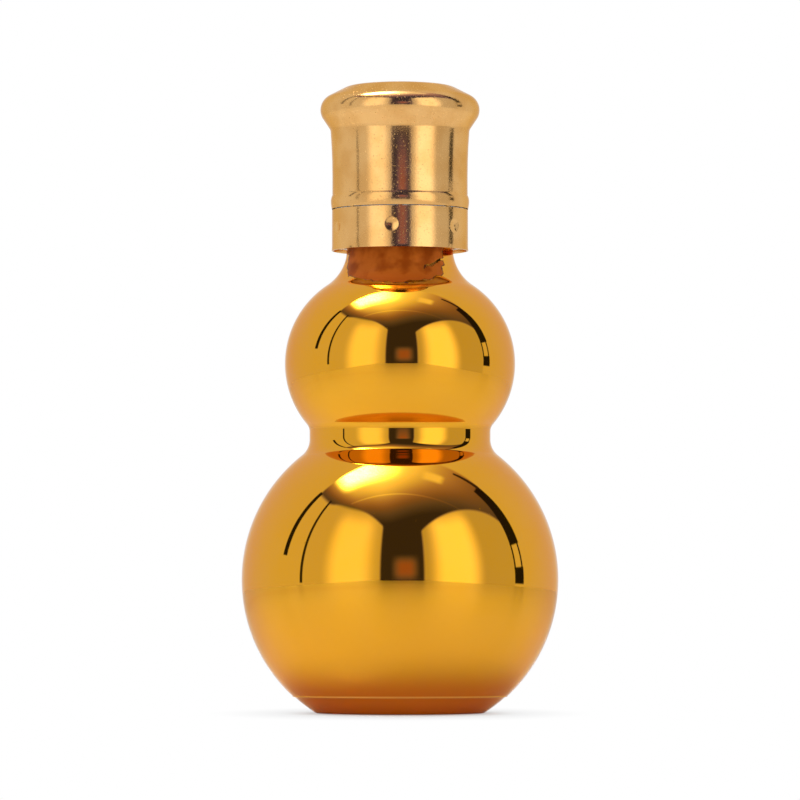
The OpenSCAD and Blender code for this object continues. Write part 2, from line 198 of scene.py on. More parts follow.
lower_c = (0.0, LOWER_R - FOOT_CUT)
waist_low_c = beside_line(lower_c, LOWER_R, WAIST_R, WAIST_LOW_R, 1)
waist_high_c = (WAIST_R + WAIST_HIGH_R, waist_low_c[1] + WAIST_H)
upper_rise = math.sqrt((UPPER_ARC_R + WAIST_HIGH_R) ** 2 - (waist_high_c[0] - UPPER_ARC_X) ** 2)
upper_c = (UPPER_ARC_X, waist_high_c[1] + upper_rise)
shoulder_c = beside_line(upper_c, UPPER_ARC_R, NECK_R, SHOULDER_R, 1)
lip_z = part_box("bottle")[1].z
bead_z = lip_z - LIP_RISE
print("land at the waist from", round(waist_low_c[1] / mm, 2), "to", round(waist_high_c[1] / mm, 2))


# %% Outline of the glass
def glass_side(depth, start):
    """One side of the wall, at a depth under the outer face, from the lower bulb up to the neck."""
    return (
        arc(lower_c, LOWER_R - depth, start, heading(lower_c, waist_low_c))
        + arc(waist_low_c, WAIST_LOW_R + depth, heading(waist_low_c, lower_c) + math.tau, HALF)[1:]
        + arc(waist_high_c, WAIST_HIGH_R + depth, HALF, heading(waist_high_c, upper_c))
        + arc(upper_c, UPPER_ARC_R - depth, heading(upper_c, waist_high_c),
              heading(upper_c, shoulder_c))[1:]
        + arc(shoulder_c, SHOULDER_R + depth, heading(shoulder_c, upper_c) + math.tau, HALF)[1:]
    )


def seam(foot_r):
    """The mould seam: a step and a fine ridge, where the bottom plate's glass meets the body's."""
    end = math.asin((SEAM_H - lower_c[1]) / LOWER_R)
    width = SEAM_WIDTH / LOWER_R
    points = []
    for i in range(SEAM_POINTS + 1):
        share = i / SEAM_POINTS
        blend = share * share * (3 - 2 * share)
        ridge = SEAM_RIDGE * math.sin(math.pi * share) ** 2
        radius = foot_r + (LOWER_R - foot_r) * blend + ridge
        points.append(polar(lower_c, radius, end + (share - 1) * width))
    return points, end - width, end


def glass_outline():
    """The whole outline: underside, foot, outer side, bead and lip, then down inside to the floor."""
    foot_r = LOWER_R - SEAM_STEP
    heel_x = math.sqrt((foot_r - HEEL_R) ** 2 - (lower_c[1] - HEEL_R) ** 2)
    heel_c = (heel_x, HEEL_R)
    push_r = sagged_r(STAND_RING_R, PUSH_UP)
    seam_points, seam_low, seam_high = seam(foot_r)
    bead_in = BEAD_OUT / 3
    bead_c = (NECK_R - bead_in, bead_z)
    bead_r = BEAD_OUT + bead_in
    lip_r = NECK_R - LIP_INSET
    bore_r = NECK_R - WALL
    outside = (
        arc((0, PUSH_UP - push_r), push_r, QUARTER, math.atan2(push_r - PUSH_UP, STAND_RING_R))
        + arc(heel_c, HEEL_R, -QUARTER, heading(lower_c, heel_c))
        + arc(lower_c, foot_r, heading(lower_c, heel_c), seam_low)[1:]
        + seam_points[1:-1]
        + glass_side(0, seam_high)
        + arc(bead_c, bead_r, -math.acos(bead_in / bead_r), math.acos((lip_r - bead_c[0]) / bead_r))
        + arc((lip_r - LIP_EDGE_R, lip_z - LIP_EDGE_R), LIP_EDGE_R, 0, QUARTER)
    )
    floor_z = PUSH_UP + BASE_GLASS
    floor_reach = LOWER_R - WALL - FLOOR_R
    floor_c = (math.sqrt(floor_reach ** 2 - (lower_c[1] - floor_z - FLOOR_R) ** 2), floor_z + FLOOR_R)
    floor_turn = heading(lower_c, floor_c)
    inside = (
        [(0, floor_z)]
        + arc(floor_c, FLOOR_R, -QUARTER, floor_turn)
        + glass_side(WALL, floor_turn)[1:]
        + arc((bore_r + LIP_EDGE_R, lip_z - LIP_EDGE_R), LIP_EDGE_R, HALF, QUARTER)
    )
    return outside + inside[::-1]


glass_points = glass_outline()
print("points of the glass outline:", len(glass_points))

# %% Turn the glass
GLASS_STEPS = 192
gold_bottle = turned("gold_bottle", glass_points, GLASS_STEPS)
sharpen(gold_bottle)
place(gold_bottle, "bottle_and_pourer", "bottle")


# %% [markdown]
# ## The drawn metal closure
#
# The cap and the band under it are drawn from thin aluminium sheet. The cap has a soft bead at its
# lower edge, a skirt that widens slightly, and a crown that flares out to a round rim, slopes in again
# and ends in a nearly flat top. It is turned as one sheet with a real thickness, so that its lower edge
# is right when the cap is off. A bulge of a third of a millimetre looks like nothing in a side view,
# but in a mirror it bends the reflections, so each of these arcs is kept.

# %% Sizes of the closure
SHEET = 0.35 * mm
SHELL_BEAD_OUT = 0.3 * mm
SHELL_BEAD_R = 2.5 * mm
SHELL_BEAD_RISE = 1.6 * mm
SHELL_HEM_IN = 0.2 * mm
GROOVE_R = 0.5 * mm
SKIRT_SPREAD = 0.35 * mm
SKIRT_SPREAD_H = 9 * mm
FLARE_R = 1.6 * mm
FLARE_DROP = 4.4 * mm
CROWN_OUT = 2.4 * mm
CROWN_RIM_R = 3.2 * mm
CROWN_SLOPE = math.radians(27)
CROWN_EDGE_R = 5 * mm
DOME_R = 76 * mm
CROWN_H = 5.45 * mm
BREAK_GAP = 0.2 * mm

band_low, band_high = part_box("tamper_band")
shell_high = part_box("cap_shell")[1]
shell_r = shell_high.x - CROWN_OUT
break_z = band_high.z + BREAK_GAP
print("skirt radius in mm:", round(shell_r / mm, 2), "slit at", round(break_z / mm, 2))

# %% Arcs of the cap's bead and skirt
hem_r = sagged_r(SHELL_BEAD_RISE, SHELL_HEM_IN)
hem_c = (shell_r + SHELL_BEAD_OUT - hem_r, break_z + SHELL_BEAD_RISE)
shell_bead_c = (shell_r + SHELL_BEAD_OUT - SHELL_BEAD_R, hem_c[1])
groove_c = beside_line(shell_bead_c, SHELL_BEAD_R, shell_r, GROOVE_R, 1)
crown_c = (shell_r + CROWN_OUT - CROWN_RIM_R, shell_high.z - CROWN_H)
spread_r = sagged_r(SKIRT_SPREAD_H, SKIRT_SPREAD)
spread_c = (shell_r + spread_r, crown_c[1] - FLARE_DROP - SKIRT_SPREAD_H)
spread_turn = math.asin(SKIRT_SPREAD_H / spread_r)
print("the skirt widens from", round(spread_c[1] / mm, 2), "up")

# %% Arcs of the crown
flare_c = polar(spread_c, spread_r - FLARE_R, HALF - spread_turn)
flare_gap = math.dist(crown_c, flare_c)
flare_turn = -heading(crown_c, flare_c) - math.acos((CROWN_RIM_R + FLARE_R) / flare_gap)
dome_c = (0.0, shell_high.z - DOME_R)
rim_turn = QUARTER - CROWN_SLOPE
edge_start = polar(crown_c, CROWN_RIM_R - CROWN_EDGE_R, rim_turn)
reach = edge_start[0] * math.sin(rim_turn) + (dome_c[1] - edge_start[1]) * math.cos(rim_turn)
slope_h = reach + math.sqrt(reach ** 2 - math.dist(dome_c, edge_start) ** 2
                            + (DOME_R - CROWN_EDGE_R) ** 2)
edge_c = polar(edge_start, slope_h, rim_turn + QUARTER)
print("slope under the crown's rim in degrees:", round(math.degrees(flare_turn), 1))


# %% Turn the cap's shell
def shell_side(depth):
    """One face of the cap's sheet, at a depth under the outer one, from the slit up to the top."""
    return (
        arc(hem_c, hem_r - depth, -math.asin(SHELL_BEAD_RISE / hem_r), 0)
        + arc(shell_bead_c, SHELL_BEAD_R - depth, 0, heading(shell_bead_c, groove_c))[1:]
        + arc(groove_c, GROOVE_R + depth, heading(groove_c, shell_bead_c) + math.tau, HALF)[1:]
        + arc(spread_c, spread_r + depth, HALF, HALF - spread_turn)
        + arc(flare_c, FLARE_R + depth, HALF - spread_turn, HALF - flare_turn)[1:]
        + arc(crown_c, CROWN_RIM_R - depth, -flare_turn, rim_turn)
        + arc(edge_c, CROWN_EDGE_R - depth, rim_turn, heading(dome_c, edge_c))
        + arc(dome_c, DOME_R - depth, heading(dome_c, edge_c), QUARTER)[1:]
    )


CLOSURE_STEPS = 240
gold_cap = turned("gold_cap_shell", shell_side(0) + shell_side(SHEET)[::-1], CLOSURE_STEPS)
sharpen(gold_cap)
place(gold_cap, "cap", "cap_shell")


# %% Bridges on the cap's edge
BRIDGE_COUNT = 8
BRIDGE_W = 0.8 * mm
BRIDGE_H = 0.14 * mm


def bridge(angle):
    """One torn bridge: a small tongue of sheet that hangs from the cap's lower edge."""
    edge_x = shell_r + SHELL_BEAD_OUT - SHELL_HEM_IN
    deselect()
    bpy.ops.mesh.primitive_cube_add(size=1, location=(edge_x - SHEET / 2, 0, break_z))
    tongue = bpy.context.object
    tongue.scale = (SHEET / 2, BRIDGE_W, 2 * BRIDGE_H)
    bpy.ops.object.transform_apply(location=True, rotation=True, scale=True)
    tongue.rotation_euler.z = angle
    bpy.ops.object.transform_apply(location=False, rotation=True, scale=False)
    return tongue


def join_into(piece, others):
    """Make several objects one piece, which keeps its own name."""
    pick(piece, *others)
    bpy.ops.object.join()


join_into(gold_cap, [bridge(math.tau * i / BRIDGE_COUNT) for i in range(BRIDGE_COUNT)])
print("bridges on the cap:", BRIDGE_COUNT)


# %% [markdown]
# ## The band and its dimples
#
# When the cap is first opened the band stays on the neck. A punch has pressed six dimples through the
# sheet into the plastic under it. Each is pressed here in the same way: the band starts as a fine net
# of faces, and one point is pushed inwards with proportional editing, which draws its neighbours along
# in the shape of a shallow bowl. The sheet gets its thickness afterwards.

# %% Sizes of the band
HEM_OUT = 0.08 * mm
HEM_H = 0.9 * mm
DIMPLE_COUNT = 6
DIMPLE_ANGLE = math.radians(263)
DIMPLE_RISE = 4.4 * mm
DIMPLE_R = 1.3 * mm
DIMPLE_DEPTH = 0.3 * mm
BAND_STEPS = 420
BAND_ROWS = 42

band_r = band_high.x - HEM_OUT
print("radius of the band in mm:", round(band_r / mm, 2))


# %% Press the dimples
def band_outline():
    """The band's outer face: a slight flare at the lower edge, then plain and upright."""
    points = []
    height = band_high.z - band_low.z
    for i in range(BAND_ROWS + 1):
        rise = height * i / BAND_ROWS
        flare = max(0.0, 1 - rise / HEM_H)
        points.append((band_r + HEM_OUT * flare * flare, band_low.z + rise))
    return points


def press_dimple(piece, angle):
    """Push one point of the sheet inwards, and let the points round it follow."""
    out = Vector((math.cos(angle), math.sin(angle), 0))
    middle = out * band_r + Vector((0, 0, band_low.z + DIMPLE_RISE))
    bpy.ops.mesh.select_all(action="DESELECT")
    bpy.ops.object.mode_set(mode="OBJECT")
    min(piece.data.vertices, key=lambda vertex: (vertex.co - middle).length).select = True
    bpy.ops.object.mode_set(mode="EDIT")
    bpy.ops.transform.translate(
        value=-out * DIMPLE_DEPTH,
        use_proportional_edit=True,
        proportional_edit_falloff="INVERSE_SQUARE",
        proportional_size=DIMPLE_R,
    )


gold_band = turned("gold_tamper_band", band_outline(), BAND_STEPS)
bpy.ops.object.mode_set(mode="EDIT")
bpy.ops.mesh.select_mode(type="VERT")
for i in range(DIMPLE_COUNT):
    press_dimple(gold_band, DIMPLE_ANGLE + math.tau * i / DIMPLE_COUNT)
bpy.ops.object.mode_set(mode="OBJECT")
deepest = min(math.hypot(v.co.x, v.co.y) for v in gold_band.data.vertices)
print("deepest point of the dimples in mm:", round((band_r - deepest) / mm, 3))

# %% Give the band its thickness
solid = gold_band.modifiers.new("sheet", "SOLIDIFY")
solid.thickness = SHEET
solid.offset = -1
solid.use_even_offset = True
bpy.ops.object.modifier_apply(modifier=solid.name)
sharpen(gold_band)
place(gold_band, "bottle_and_pourer", "tamper_band")
print("faces of the band:", len(gold_band.data.polygons))


# %% [markdown]
# ## Finishes
#
# Every finish is made of nodes, so that it has no picture to lose. A mirror shows what is round it and
# hides its own colour, so its detail is in the height: a slow wave of the blown glass, and a fine
# peel of the lacquer. Both come from one group of nodes, with its own sizes in each finish.

# %% Node helpers
def node(tree, kind, **settings):
    """Add a node to a tree and set what is given by name."""
    made = tree.nodes.new(kind)
    for name, value in settings.items():
        setattr(made, name, value)
    return made


def feed(tree, socket, value):
    """Link another node's output to a socket, or set it to a number or a colour."""
    if isinstance(value, bpy.types.NodeSocket):
        tree.links.new(value, socket)
    elif isinstance(value, tuple):
        socket.default_value = (*value, 1.0)
    else:
        socket.default_value = value


def math_node(tree, operation, *values):
    """A Math node whose inputs are numbers or other nodes' outputs."""
    made = node(tree, "ShaderNodeMath", operation=operation)
    for socket, value in zip(made.inputs, values):
        feed(tree, socket, value)
    return made.outputs[0]


def ramp(tree, value, low, high, start=0.0, end=1.0):
    """Turn a value between low and high into one between start and end, with soft ends."""
    made = node(tree, "ShaderNodeMapRange", interpolation_type="SMOOTHSTEP")
    labels = ("Value", "From Min", "From Max", "To Min", "To Max")
    for label, number in zip(labels, (value, low, high, start, end)):
        feed(tree, made.inputs[label], number)
    return made.outputs["Result"]


def noise(tree, point, scale, detail):
    """Smooth noise with about this many bumps in a metre."""
    made = node(tree, "ShaderNodeTexNoise")
    made.inputs["Detail"].default_value = detail
    feed(tree, made.inputs["Scale"], scale)
    feed(tree, made.inputs["Vector"], point)
    return made.outputs["Fac"]


def mix(tree, kind, share, first, second):
    """Blend two values of one kind by a mask."""
    made = node(tree, "ShaderNodeMix", data_type=kind)
    for label, value in (("Factor", share), ("A", first), ("B", second)):
        feed(tree, made.inputs[label], value)
    return made.outputs["Result"]


def mix_colour(tree, share, first, second):
    """Blend two colours by a mask."""
    return mix(tree, "RGBA", share, first, second)


def new_group(name, inputs, outputs):
    """An empty node group with named number inputs and outputs."""
    tree = bpy.data.node_groups.new(name, "ShaderNodeTree")
    for side, labels in (("INPUT", inputs), ("OUTPUT", outputs)):
        for label in labels:
            tree.interface.new_socket(name=label, in_out=side, socket_type="NodeSocketFloat")
    return tree, node(tree, "NodeGroupInput"), node(tree, "NodeGroupOutput")


# %% Group: the skin of a coated surface
SPECK_FROM = 0.2
SPECK_TO = 0.28


def make_skin_group():
    """Height of a coated surface, in metres, and a mask of fine specks in it."""
    inputs = ("Wave Size", "Wave Height", "Peel Size", "Peel Height", "Speck Size", "Speck Share")
    tree, given, result = new_group("coated_skin", inputs, ("Height", "Specks"))
    point = node(tree, "ShaderNodeTexCoord").outputs["Object"]

    def sized_noise(size, detail):
        """Noise whose grain is one of the group's inputs."""
        return noise(tree, point, math_node(tree, "DIVIDE", 1.0, given.outputs[size]), detail)

    wave = math_node(tree, "MULTIPLY", sized_noise("Wave Size", 1), given.outputs["Wave Height"])
    peel = math_node(tree, "MULTIPLY", sized_noise("Peel Size", 2), given.outputs["Peel Height"])
    feed(tree, result.inputs["Height"], math_node(tree, "ADD", wave, peel))
    depth = math_node(tree, "SUBTRACT", sized_noise("Speck Size", 3), 0.5)
    depth = math_node(tree, "ADD", depth, given.outputs["Speck Share"])
    feed(tree, result.inputs["Specks"], ramp(tree, depth, SPECK_FROM, SPECK_TO))
    return tree


skin_group = make_skin_group()
print("sockets of the skin:", [socket.name for socket in skin_group.interface.items_tree])


# %% Material helpers
def skin(tree, wave, peel, specks):
    """Place the skin in a material, with the size and height of each layer and the specks' share."""
    made = node(tree, "ShaderNodeGroup", node_tree=skin_group)
    for socket, number in zip(made.inputs, (*wave, *peel, *specks)):
        socket.default_value = number
    return made.outputs["Height"], made.outputs["Specks"]


def new_material(name):
    """A material with an empty Principled surface, as (material, tree, shader, point on the object)."""
    material = bpy.data.materials.new(name)
    material.use_nodes = True
    tree = material.node_tree
    point = node(tree, "ShaderNodeTexCoord").outputs["Object"]
    return material, tree, tree.nodes["Principled BSDF"], point


def set_surface(tree, shader, colour, rough, height, **constants):
    """Feed the colour, roughness and height in metres, and set constants on the shader's own sockets."""
    made = node(tree, "ShaderNodeBump")
    made.inputs["Strength"].default_value = 1.0
    made.inputs["Distance"].default_value = 1.0
    feed(tree, made.inputs["Height"], height)
    feed(tree, shader.inputs["Base Color"], colour)
    feed(tree, shader.inputs["Roughness"], rough)
    feed(tree, shader.inputs["Normal"], made.outputs["Normal"])
    for name, value in constants.items():
        feed(tree, shader.inputs[name.replace("_", " ")], value)


def dress(piece, material):
    """Give a piece one material."""
    piece.data.materials.clear()
    piece.data.materials.append(material)
    print(piece.name, "is dressed in", material.name)


# %% [markdown]
# ### Gold on the glass
#
# The plating is a clean mirror from the foot to the shoulder. At the front of the neck, just under the
# closure, the photograph shows no reflections at all, only a deep copper brown with a ragged edge and
# one torn strand of gold across it. It is taken for a place where the plating is thin. A mask marks it
# by height and by side, and noise makes its edge ragged. There the metal gives way to a plain rough
# coat with a dark rim, and the surface is raised a little, as the edge of a coating is. Towards the
# foot the gold turns redder, as painted shade for the copper reflection of the shaded table there, and
# the ridge of the seam carries a painted highlight.

# %% Where the plating is thin
THIN_LINE = 85.2 * mm
THIN_EDGE = 0.2 * mm
THIN_MIDDLE = -1.0 * mm
THIN_HALF = 9.5 * mm
THIN_SIDE_RISE = 0.021 / mm
RAGGED_GRAIN = 2.2 * mm
RAGGED_HEIGHT = 2.4 * mm
STRAND_RISE = 88.2 * mm
STRAND_SLOPE = 0.5
STRAND_START = 4.4 * mm
STRAND_SOFT = 1 * mm
STRAND_HALF = 0.17 * mm


def shifted(tree, value, ragged, line):
    """How far a value lies past a line, once the ragged noise has moved it."""
    return math_node(tree, "SUBTRACT", math_node(tree, "ADD", value, ragged), line)


def thin_patch(tree, across, height, ragged):
    """1 above the patch's bowed lower edge and between its sides."""
    beside = math_node(tree, "ABSOLUTE", math_node(tree, "SUBTRACT", across, THIN_MIDDLE))
    bow = math_node(tree, "MULTIPLY", math_node(tree, "POWER", beside, 2.0), THIN_SIDE_RISE)
    level = math_node(tree, "SUBTRACT", height, bow)
    above = ramp(tree, shifted(tree, level, ragged, THIN_LINE), -THIN_EDGE, THIN_EDGE)
    inside = ramp(tree, shifted(tree, beside, ragged, THIN_HALF), -THIN_EDGE, THIN_EDGE, 1.0, 0.0)
    return math_node(tree, "MULTIPLY", above, inside)


def torn_strand(tree, across, height, ragged):
    """1 on the strand of gold that is left across the patch."""
    past = math_node(tree, "SUBTRACT", across, STRAND_START)
    level = math_node(tree, "SUBTRACT", height, math_node(tree, "MULTIPLY", past, STRAND_SLOPE))
    off = math_node(tree, "ABSOLUTE", shifted(tree, level, ragged, STRAND_RISE))
    strand = ramp(tree, off, STRAND_HALF, 2 * STRAND_HALF, 1.0, 0.0)
    start = ramp(tree, across, STRAND_START, STRAND_START + STRAND_SOFT)
    return math_node(tree, "MULTIPLY", strand, start)


def thin_mask(tree, point, axes):
    """1 on the thin patch at the front of the neck, 0 past its ragged edge and on the torn strand."""
    across, height = axes["X"], axes["Z"]
    ragged = math_node(tree, "SUBTRACT", noise(tree, point, 1 / RAGGED_GRAIN, 4), 0.5)
    ragged = math_node(tree, "MULTIPLY", ragged, RAGGED_HEIGHT)
    front = ramp(tree, axes["Y"], -THIN_EDGE, THIN_EDGE, 1.0, 0.0)
    patch = math_node(tree, "MULTIPLY", thin_patch(tree, across, height, ragged), front)
    kept = math_node(tree, "SUBTRACT", 1.0, torn_strand(tree, across, height, ragged))
    return math_node(tree, "MULTIPLY", patch, kept)


print("the thin plating starts in mm above the table at", round(THIN_LINE / mm, 1))

# %% Colours of the gold
GOLD = (0.79, 0.36, 0.003)
GOLD_DEEP = (0.73, 0.31, 0.002)
# Painted shade: the redder gold towards the foot, for the reflection of the shaded table.
GOLD_FOOT_SHADE = (0.86, 0.28, 0.010)
# Painted highlight: the pale gold along the ridge of the seam.
GOLD_SEAM_HIGHLIGHT = (1.0, 0.55, 0.10)
GOLD_EDGE = (0.90, 0.58, 0.22)
GOLD_CLOUD = 22 * mm
GOLD_CLOUD_SHARE = 0.25
FOOT_LOW = SEAM_H - 0.5 * mm
FOOT_HIGH = SEAM_H + 6 * mm
SEAM_LINE = SEAM_H - 0.1 * mm
SEAM_LINE_HALF = 0.1 * mm
SEAM_LINE_EDGE = 0.25 * mm
THIN_GOLD = (0.50, 0.12, 0.012)
THIN_GOLD_DARK = (0.30, 0.055, 0.003)
THIN_CLOUD = 4 * mm
THIN_DARK_RISE = 4 * mm
THIN_RIM = (0.12, 0.025, 0.003)


def gold_colour(tree, point, axes, thin):
    """Colour of the plating: cloudy gold, redder painted shade at the foot, a painted highlight on the
    seam, brown where it is thin.
    """
    height = axes["Z"]
    cloud = ramp(tree, noise(tree, point, 1 / GOLD_CLOUD, 1), 0.3, 0.7, 0.0, GOLD_CLOUD_SHARE)
    # Painted shade: the gold turns redder towards the foot, for the copper reflection of the shaded
    # table.
    foot = ramp(tree, height, FOOT_LOW, FOOT_HIGH, 1.0, 0.0)
    colour = mix_colour(tree, foot, mix_colour(tree, cloud, GOLD, GOLD_DEEP), GOLD_FOOT_SHADE)
    # Painted highlight: a paler gold laid along the ridge of the seam.
    off_seam = math_node(tree, "ABSOLUTE", math_node(tree, "SUBTRACT", height, SEAM_LINE))
    seam_highlight = ramp(tree, off_seam, SEAM_LINE_HALF, SEAM_LINE_EDGE, 1.0, 0.0)
    colour = mix_colour(tree, seam_highlight, colour, GOLD_SEAM_HIGHLIGHT)
    thin_cloud = ramp(tree, noise(tree, point, 1 / THIN_CLOUD, 3), 0.35, 0.65)
    thin_low = ramp(tree, height, THIN_LINE, THIN_LINE + THIN_DARK_RISE, 1.0, 0.0)
    thin_dark = math_node(tree, "MAXIMUM", thin_cloud, thin_low)
    colour = mix_colour(tree, thin, colour, mix_colour(tree, thin_dark, THIN_GOLD, THIN_GOLD_DARK))
    rim = math_node(tree, "MULTIPLY", math_node(tree, "SUBTRACT", 1.0, thin), thin)
    return mix_colour(tree, ramp(tree, rim, 0.05, 0.25), colour, THIN_RIM)


print("the gold reddens in mm above the table from", round(FOOT_HIGH / mm, 1), "down")

# %% Finish: gold mirror on glass
GOLD_ROUGH = 0.035
GOLD_SPECK_ROUGH = 0.12
WORN_HIGH = 0.6 * mm
WORN_ROUGH = 0.25
THIN_ROUGH = 0.5
THIN_STEP = 0.03 * mm
COAT = 0.42
COAT_THIN = 0.03


def gold_mirror():
    """Plated glass: a clear-coated mirror, worn where it stands, and dull on the thin patch."""
    material, tree, shader, point = new_material("gold_mirror")
    skin_height, specks = skin(tree, (16 * mm, 0.03 * mm), (1.4 * mm, 0.0006 * mm), (0.9 * mm, 0.0))
    apart = node(tree, "ShaderNodeSeparateXYZ")
    feed(tree, apart.inputs[0], point)
    axes = apart.outputs
    thin = thin_mask(tree, point, axes)
    rough = math_node(tree, "MULTIPLY_ADD", specks, GOLD_SPECK_ROUGH, GOLD_ROUGH)
    rough = math_node(tree, "ADD", rough, ramp(tree, axes["Z"], 0.0, WORN_HIGH, WORN_ROUGH, 0.0))
    rough = math_node(tree, "ADD", rough, math_node(tree, "MULTIPLY", thin, THIN_ROUGH))
    height = math_node(tree, "ADD", skin_height, math_node(tree, "MULTIPLY", thin, THIN_STEP))
    set_surface(tree, shader, gold_colour(tree, point, axes, thin), rough, height,
                Specular_IOR_Level=0.1, Specular_Tint=GOLD_EDGE, Coat_Roughness=0.02, Coat_IOR=1.5)
    feed(tree, shader.inputs["Coat Weight"], ramp(tree, thin, 0.0, 1.0, COAT, COAT_THIN))
    feed(tree, shader.inputs["Metallic"], ramp(tree, thin, 0.0, 1.0, 1.0, 0.0))
    return material


dress(gold_bottle, gold_mirror())

# %% [markdown]
# ### Lacquer on the drawn metal
#
# The cap and the band are paler than the glass, and satin where the glass is a mirror. Drawing leaves a
# faint pebble in aluminium sheet, and the lacquer over it is a little uneven in colour. So this finish
# has a fine peel, a cloud of a darker tone, and specks that are rougher than the rest.

# %% Finish: champagne lacquer on drawn sheet
CHAMPAGNE = (0.80, 0.46, 0.165)
CHAMPAGNE_DARK = (0.72, 0.385, 0.12)
CHAMPAGNE_EDGE = (0.88, 0.66, 0.40)
CHAMPAGNE_CLOUD = 5 * mm
CHAMPAGNE_ROUGH = 0.13
CHAMPAGNE_SPECK_ROUGH = 0.3


def champagne_sheet():
    """Lacquered aluminium: satin, with the faint pebble that drawing leaves in the sheet."""
    material, tree, shader, point = new_material("champagne_sheet")
    height, specks = skin(tree, (6 * mm, 0.004 * mm), (0.36 * mm, 0.009 * mm), (0.3 * mm, 0.1))
    cloud = ramp(tree, noise(tree, point, 1 / CHAMPAGNE_CLOUD, 3), 0.35, 0.7)
    rough = math_node(tree, "MULTIPLY_ADD", specks, CHAMPAGNE_SPECK_ROUGH, CHAMPAGNE_ROUGH)
    set_surface(tree, shader, mix_colour(tree, cloud, CHAMPAGNE, CHAMPAGNE_DARK), rough, height,
                Specular_Tint=CHAMPAGNE_EDGE, Metallic=1.0, Coat_Weight=0.1, Coat_Roughness=0.08,
                Coat_IOR=1.5)
    return material


champagne = champagne_sheet()
dress(gold_cap, champagne)
dress(gold_band, champagne)


# %% [markdown]
# ### Plastics inside the closure
#
# The pourer, the valve and the inner cap are moulded plastic, which shows once the cap is off. Moulded
# plastic lets a little light into its surface, and its gloss breaks up over a fine grain from the
# mould, so each of them is one function with a colour, a gloss and a grain.

# %% Finish: moulded plastic
PLASTIC_CLOUD = 3 * mm
PLASTIC_SHADE = 0.94
PLASTIC_ROUGH_SPREAD = 0.1
PLASTIC_DEPTH = 1 * mm


def moulded(name, colour, roughness, grain, grain_height, glow):
    """Moulded plastic with a fine grain, cloudy colour and some light under its skin."""
    material, tree, shader, point = new_material(name)
    height, _ = skin(tree, (4 * mm, 0.01 * mm), (grain, grain_height), (0.6 * mm, 0.0))
    cloud = ramp(tree, noise(tree, point, 1 / PLASTIC_CLOUD, 3), 0.3, 0.75)
    shaded = tuple(channel * PLASTIC_SHADE for channel in colour)
    rough = math_node(tree, "MULTIPLY_ADD", cloud, PLASTIC_ROUGH_SPREAD, roughness)
    set_surface(tree, shader, mix_colour(tree, cloud, colour, shaded), rough, height,
                Subsurface_Weight=glow, Subsurface_Scale=PLASTIC_DEPTH, IOR=1.5)
    shader.inputs["Subsurface Radius"].default_value = (1.0, 0.9, 0.8)
    return material


plastics = {
    "inner_cap": moulded("white_cap_plastic", (0.84, 0.83, 0.80), 0.32, 0.5 * mm, 0.002 * mm, 0.1),
    "pourer_body": moulded("waxy_pourer_plastic", (0.86, 0.86, 0.84), 0.28, 0.4 * mm, 0.0015 * mm, 0.35),
    "valve_seat": moulded("milky_valve_plastic", (0.80, 0.83, 0.85), 0.25, 0.4 * mm, 0.001 * mm, 0.4),
    "valve_disc": moulded("pale_blue_plastic", (0.55, 0.66, 0.78), 0.3, 0.4 * mm, 0.001 * mm, 0.2),
    "cap_liner": moulded("liner_foam", (0.88, 0.88, 0.86), 0.75, 0.25 * mm, 0.02 * mm, 0.1),
    "neck_seal": moulded("soft_ring", (0.70, 0.70, 0.68), 0.6, 0.3 * mm, 0.004 * mm, 0.1),
}
plastics["ball_cage"] = plastics["valve_seat"]
for name, material in plastics.items():
    dress(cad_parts[name], material)

# %% Finish: clear ball
BALL_CLOUD = 2 * mm
BALL_CLEAR = (0.93, 0.98, 0.97)
BALL_GREEN = (0.86, 0.95, 0.93)


def clear_ball():
    """Clear glass with the faint ripple of a pressed ball."""
    material, tree, shader, point = new_material("clear_ball")
    height, specks = skin(tree, (2 * mm, 0.004 * mm), (0.5 * mm, 0.0003 * mm), (0.4 * mm, 0.0))
    cloud = ramp(tree, noise(tree, point, 1 / BALL_CLOUD, 2), 0.4, 0.7)
    rough = math_node(tree, "MULTIPLY_ADD", specks, 0.1, 0.01)
    set_surface(tree, shader, mix_colour(tree, cloud, BALL_CLEAR, BALL_GREEN), rough, height,
                Transmission_Weight=1.0, IOR=1.52)
    return material


dress(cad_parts["glass_ball"], clear_ball())


# %% [markdown]
# ## The studio
#
# A mirror is only as good as the room round it. This room is pale, with two soft boxes in front, a
# dark slot between them where the camera looks through, a dim red glow low in the slot, and thin dark
# stands at the sides. The ceiling is brown at the front and brightens towards a lamp on the left.
# The room is painted in the world by direction, so every mirror in the scene sees it alike. The walls
# go by azimuth and elevation. The ceiling goes by two angles from straight up, because its straight
# edges stay straight that way. Only mirrors see the ceiling, so its lamp throws no light on the table,
# and the camera itself sees plain white.

# %% Group: one panel of the studio
PANEL_NUMBERS = ("From", "To", "Low", "High", "Softness")


def make_panel_group():
    """A soft-edged rectangle of directions, given by two angles in degrees."""
    tree, given, result = new_group("studio_panel", ("Across", "Up", *PANEL_NUMBERS), ("Mask",))

    def edge(value, side):
        """0 on one side of an edge and 1 on the other."""
        past = math_node(tree, "SUBTRACT", given.outputs[value], given.outputs[side])
        past = math_node(tree, "DIVIDE", past, given.outputs["Softness"])
        return ramp(tree, past, -0.5, 0.5)

    across = math_node(tree, "SUBTRACT", edge("Across", "From"), edge("Across", "To"))
    upright = math_node(tree, "SUBTRACT", edge("Up", "Low"), edge("Up", "High"))
    feed(tree, result.inputs["Mask"], math_node(tree, "MULTIPLY", across, upright))
    return tree


panel_group = make_panel_group()
print("numbers of a panel:", PANEL_NUMBERS)

# %% Walls and stands of the studio
WHITE = (1.0, 1.0, 1.0)
WALL_LIGHT = 0.86
